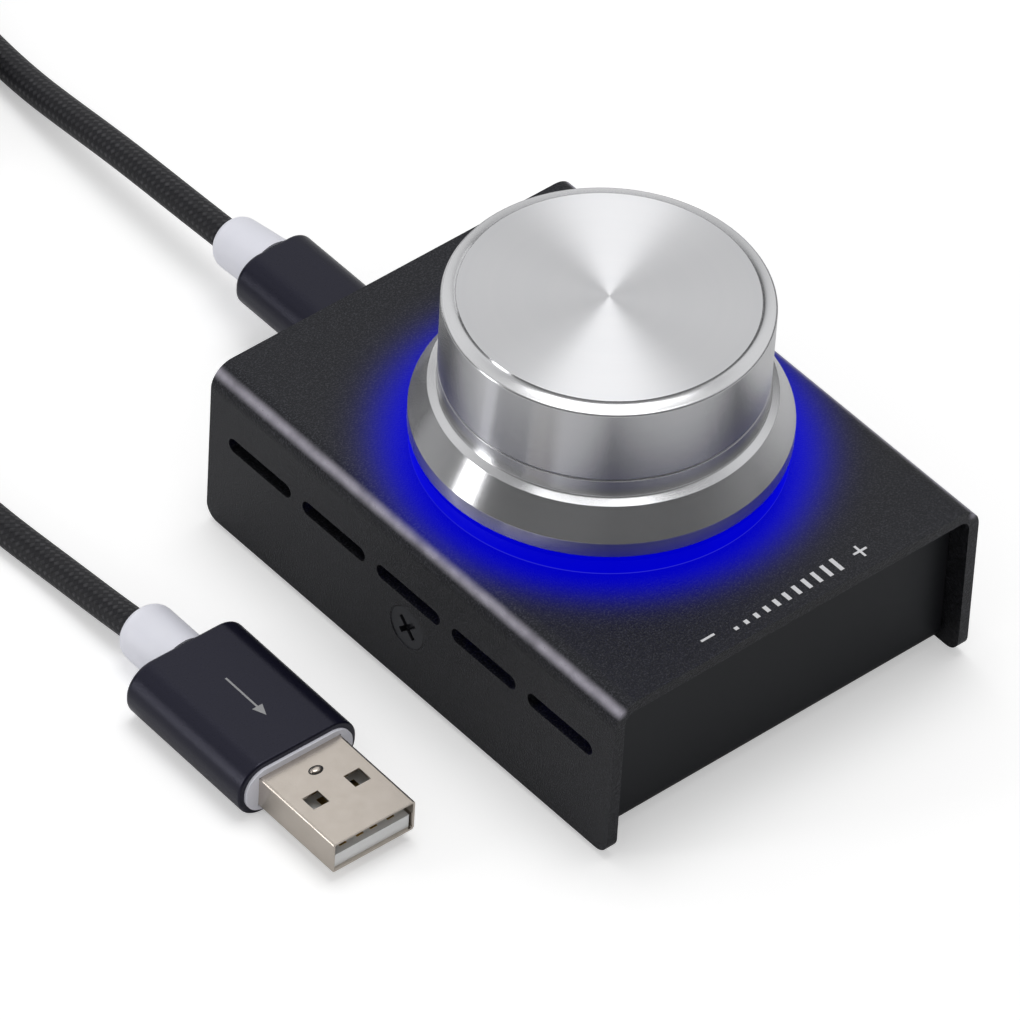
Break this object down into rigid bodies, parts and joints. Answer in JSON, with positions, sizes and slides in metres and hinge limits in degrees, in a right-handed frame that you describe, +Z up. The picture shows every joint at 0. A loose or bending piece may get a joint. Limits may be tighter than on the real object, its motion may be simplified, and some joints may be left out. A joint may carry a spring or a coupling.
{
  "type": "desktop volume control knob",
  "caption": "Desktop volume control: folded metal box with side vents, large turned press knob over a glowing ring, and a detachable braided cord with a computer plug.",
  "frame": {"origin": "on the standing surface, under the middle of the box", "axes": "+X to the right, +Y towards the end where the cord plugs in, +Z up"},
  "size_m": [0.0849, 0.205, 0.0466],
  "materials": {
    "black_coat": "fine textured black powder coat",
    "black_steel": "black oxide",
    "black_rubber": "matte",
    "glowing_ring": "clear, lit from below",
    "board_green": "solder mask",
    "brass": "machined",
    "bright_steel": "bright plated",
    "black_plastic": "moulded",
    "tan_ceramic": "fired",
    "led_white": "moulded, with a clear lens",
    "gold_plate": "gold plated",
    "cream_plastic": "moulded",
    "turned_aluminium": "turned and spun",
    "plug_steel": "nickel plated stamped sheet",
    "white_plastic": "smooth moulded",
    "dark_sleeve": "dark anodised, satin",
    "braid": "tight nylon braid",
    "tie_fabric": "woven strap"
  },
  "bodies": {
    "housing": {"cover": "black_coat", "base_tray": "black_coat", "cover_screws": "black_steel", "foot_front_left": "black_rubber", "foot_front_right": "black_rubber", "foot_rear_left": "black_rubber", "foot_rear_right": "black_rubber", "light_ring": "glowing_ring", "main_board": "board_green", "board_standoffs": "brass", "board_screws": "bright_steel", "controller_chip": "black_plastic", "timing_crystal": "bright_steel", "chip_capacitors": "tan_ceramic", "indicator_leds": "led_white", "port_shell": "bright_steel", "port_tongue": "black_plastic", "port_contacts": "gold_plate", "control_base": "black_plastic", "control_frame": "bright_steel", "control_neck": "bright_steel", "control_pins": "gold_plate", "detent_spring": "bright_steel", "snap_dome": "bright_steel"},
    "rotor": {"control_rotor": "cream_plastic", "rotor_wipers": "gold_plate"},
    "knob_and_shaft": {"control_shaft": "turned_aluminium", "knob_hub": "black_plastic", "knob": "turned_aluminium"},
    "cable": {"small_plug_tip": "plug_steel", "small_plug_insert": "black_plastic", "small_plug_core": "white_plastic", "small_plug_sleeve": "dark_sleeve", "small_plug_boot": "white_plastic", "cord_to_box": "braid", "cord_coil": "braid", "coil_tie": "tie_fabric", "cord_to_computer": "braid", "large_plug_boot": "white_plastic", "large_plug_sleeve": "dark_sleeve", "large_plug_core": "white_plastic", "large_plug_shell": "plug_steel", "large_plug_tongue": "white_plastic", "large_plug_contacts": "gold_plate"}
  },
  "joints": [
    {"name": "knob_turn", "type": "hinge", "parent": "housing", "child": "rotor", "pos_m": [0, -0.0009, 0.0111], "axis": [0, 0, 1], "continuous": true},
    {"name": "knob_press", "type": "slide", "parent": "rotor", "child": "knob_and_shaft", "axis": [0, 0, -1], "range_m": [0, 0.0005], "stiffness_N_per_m": 6000, "springref_m": -0.0003, "deforming": ["snap_dome"]},
    {"name": "cord_unplug", "type": "slide", "parent": "housing", "child": "cable", "axis": [0, 1, 0], "range_m": [0, 0.008]}
  ]
}
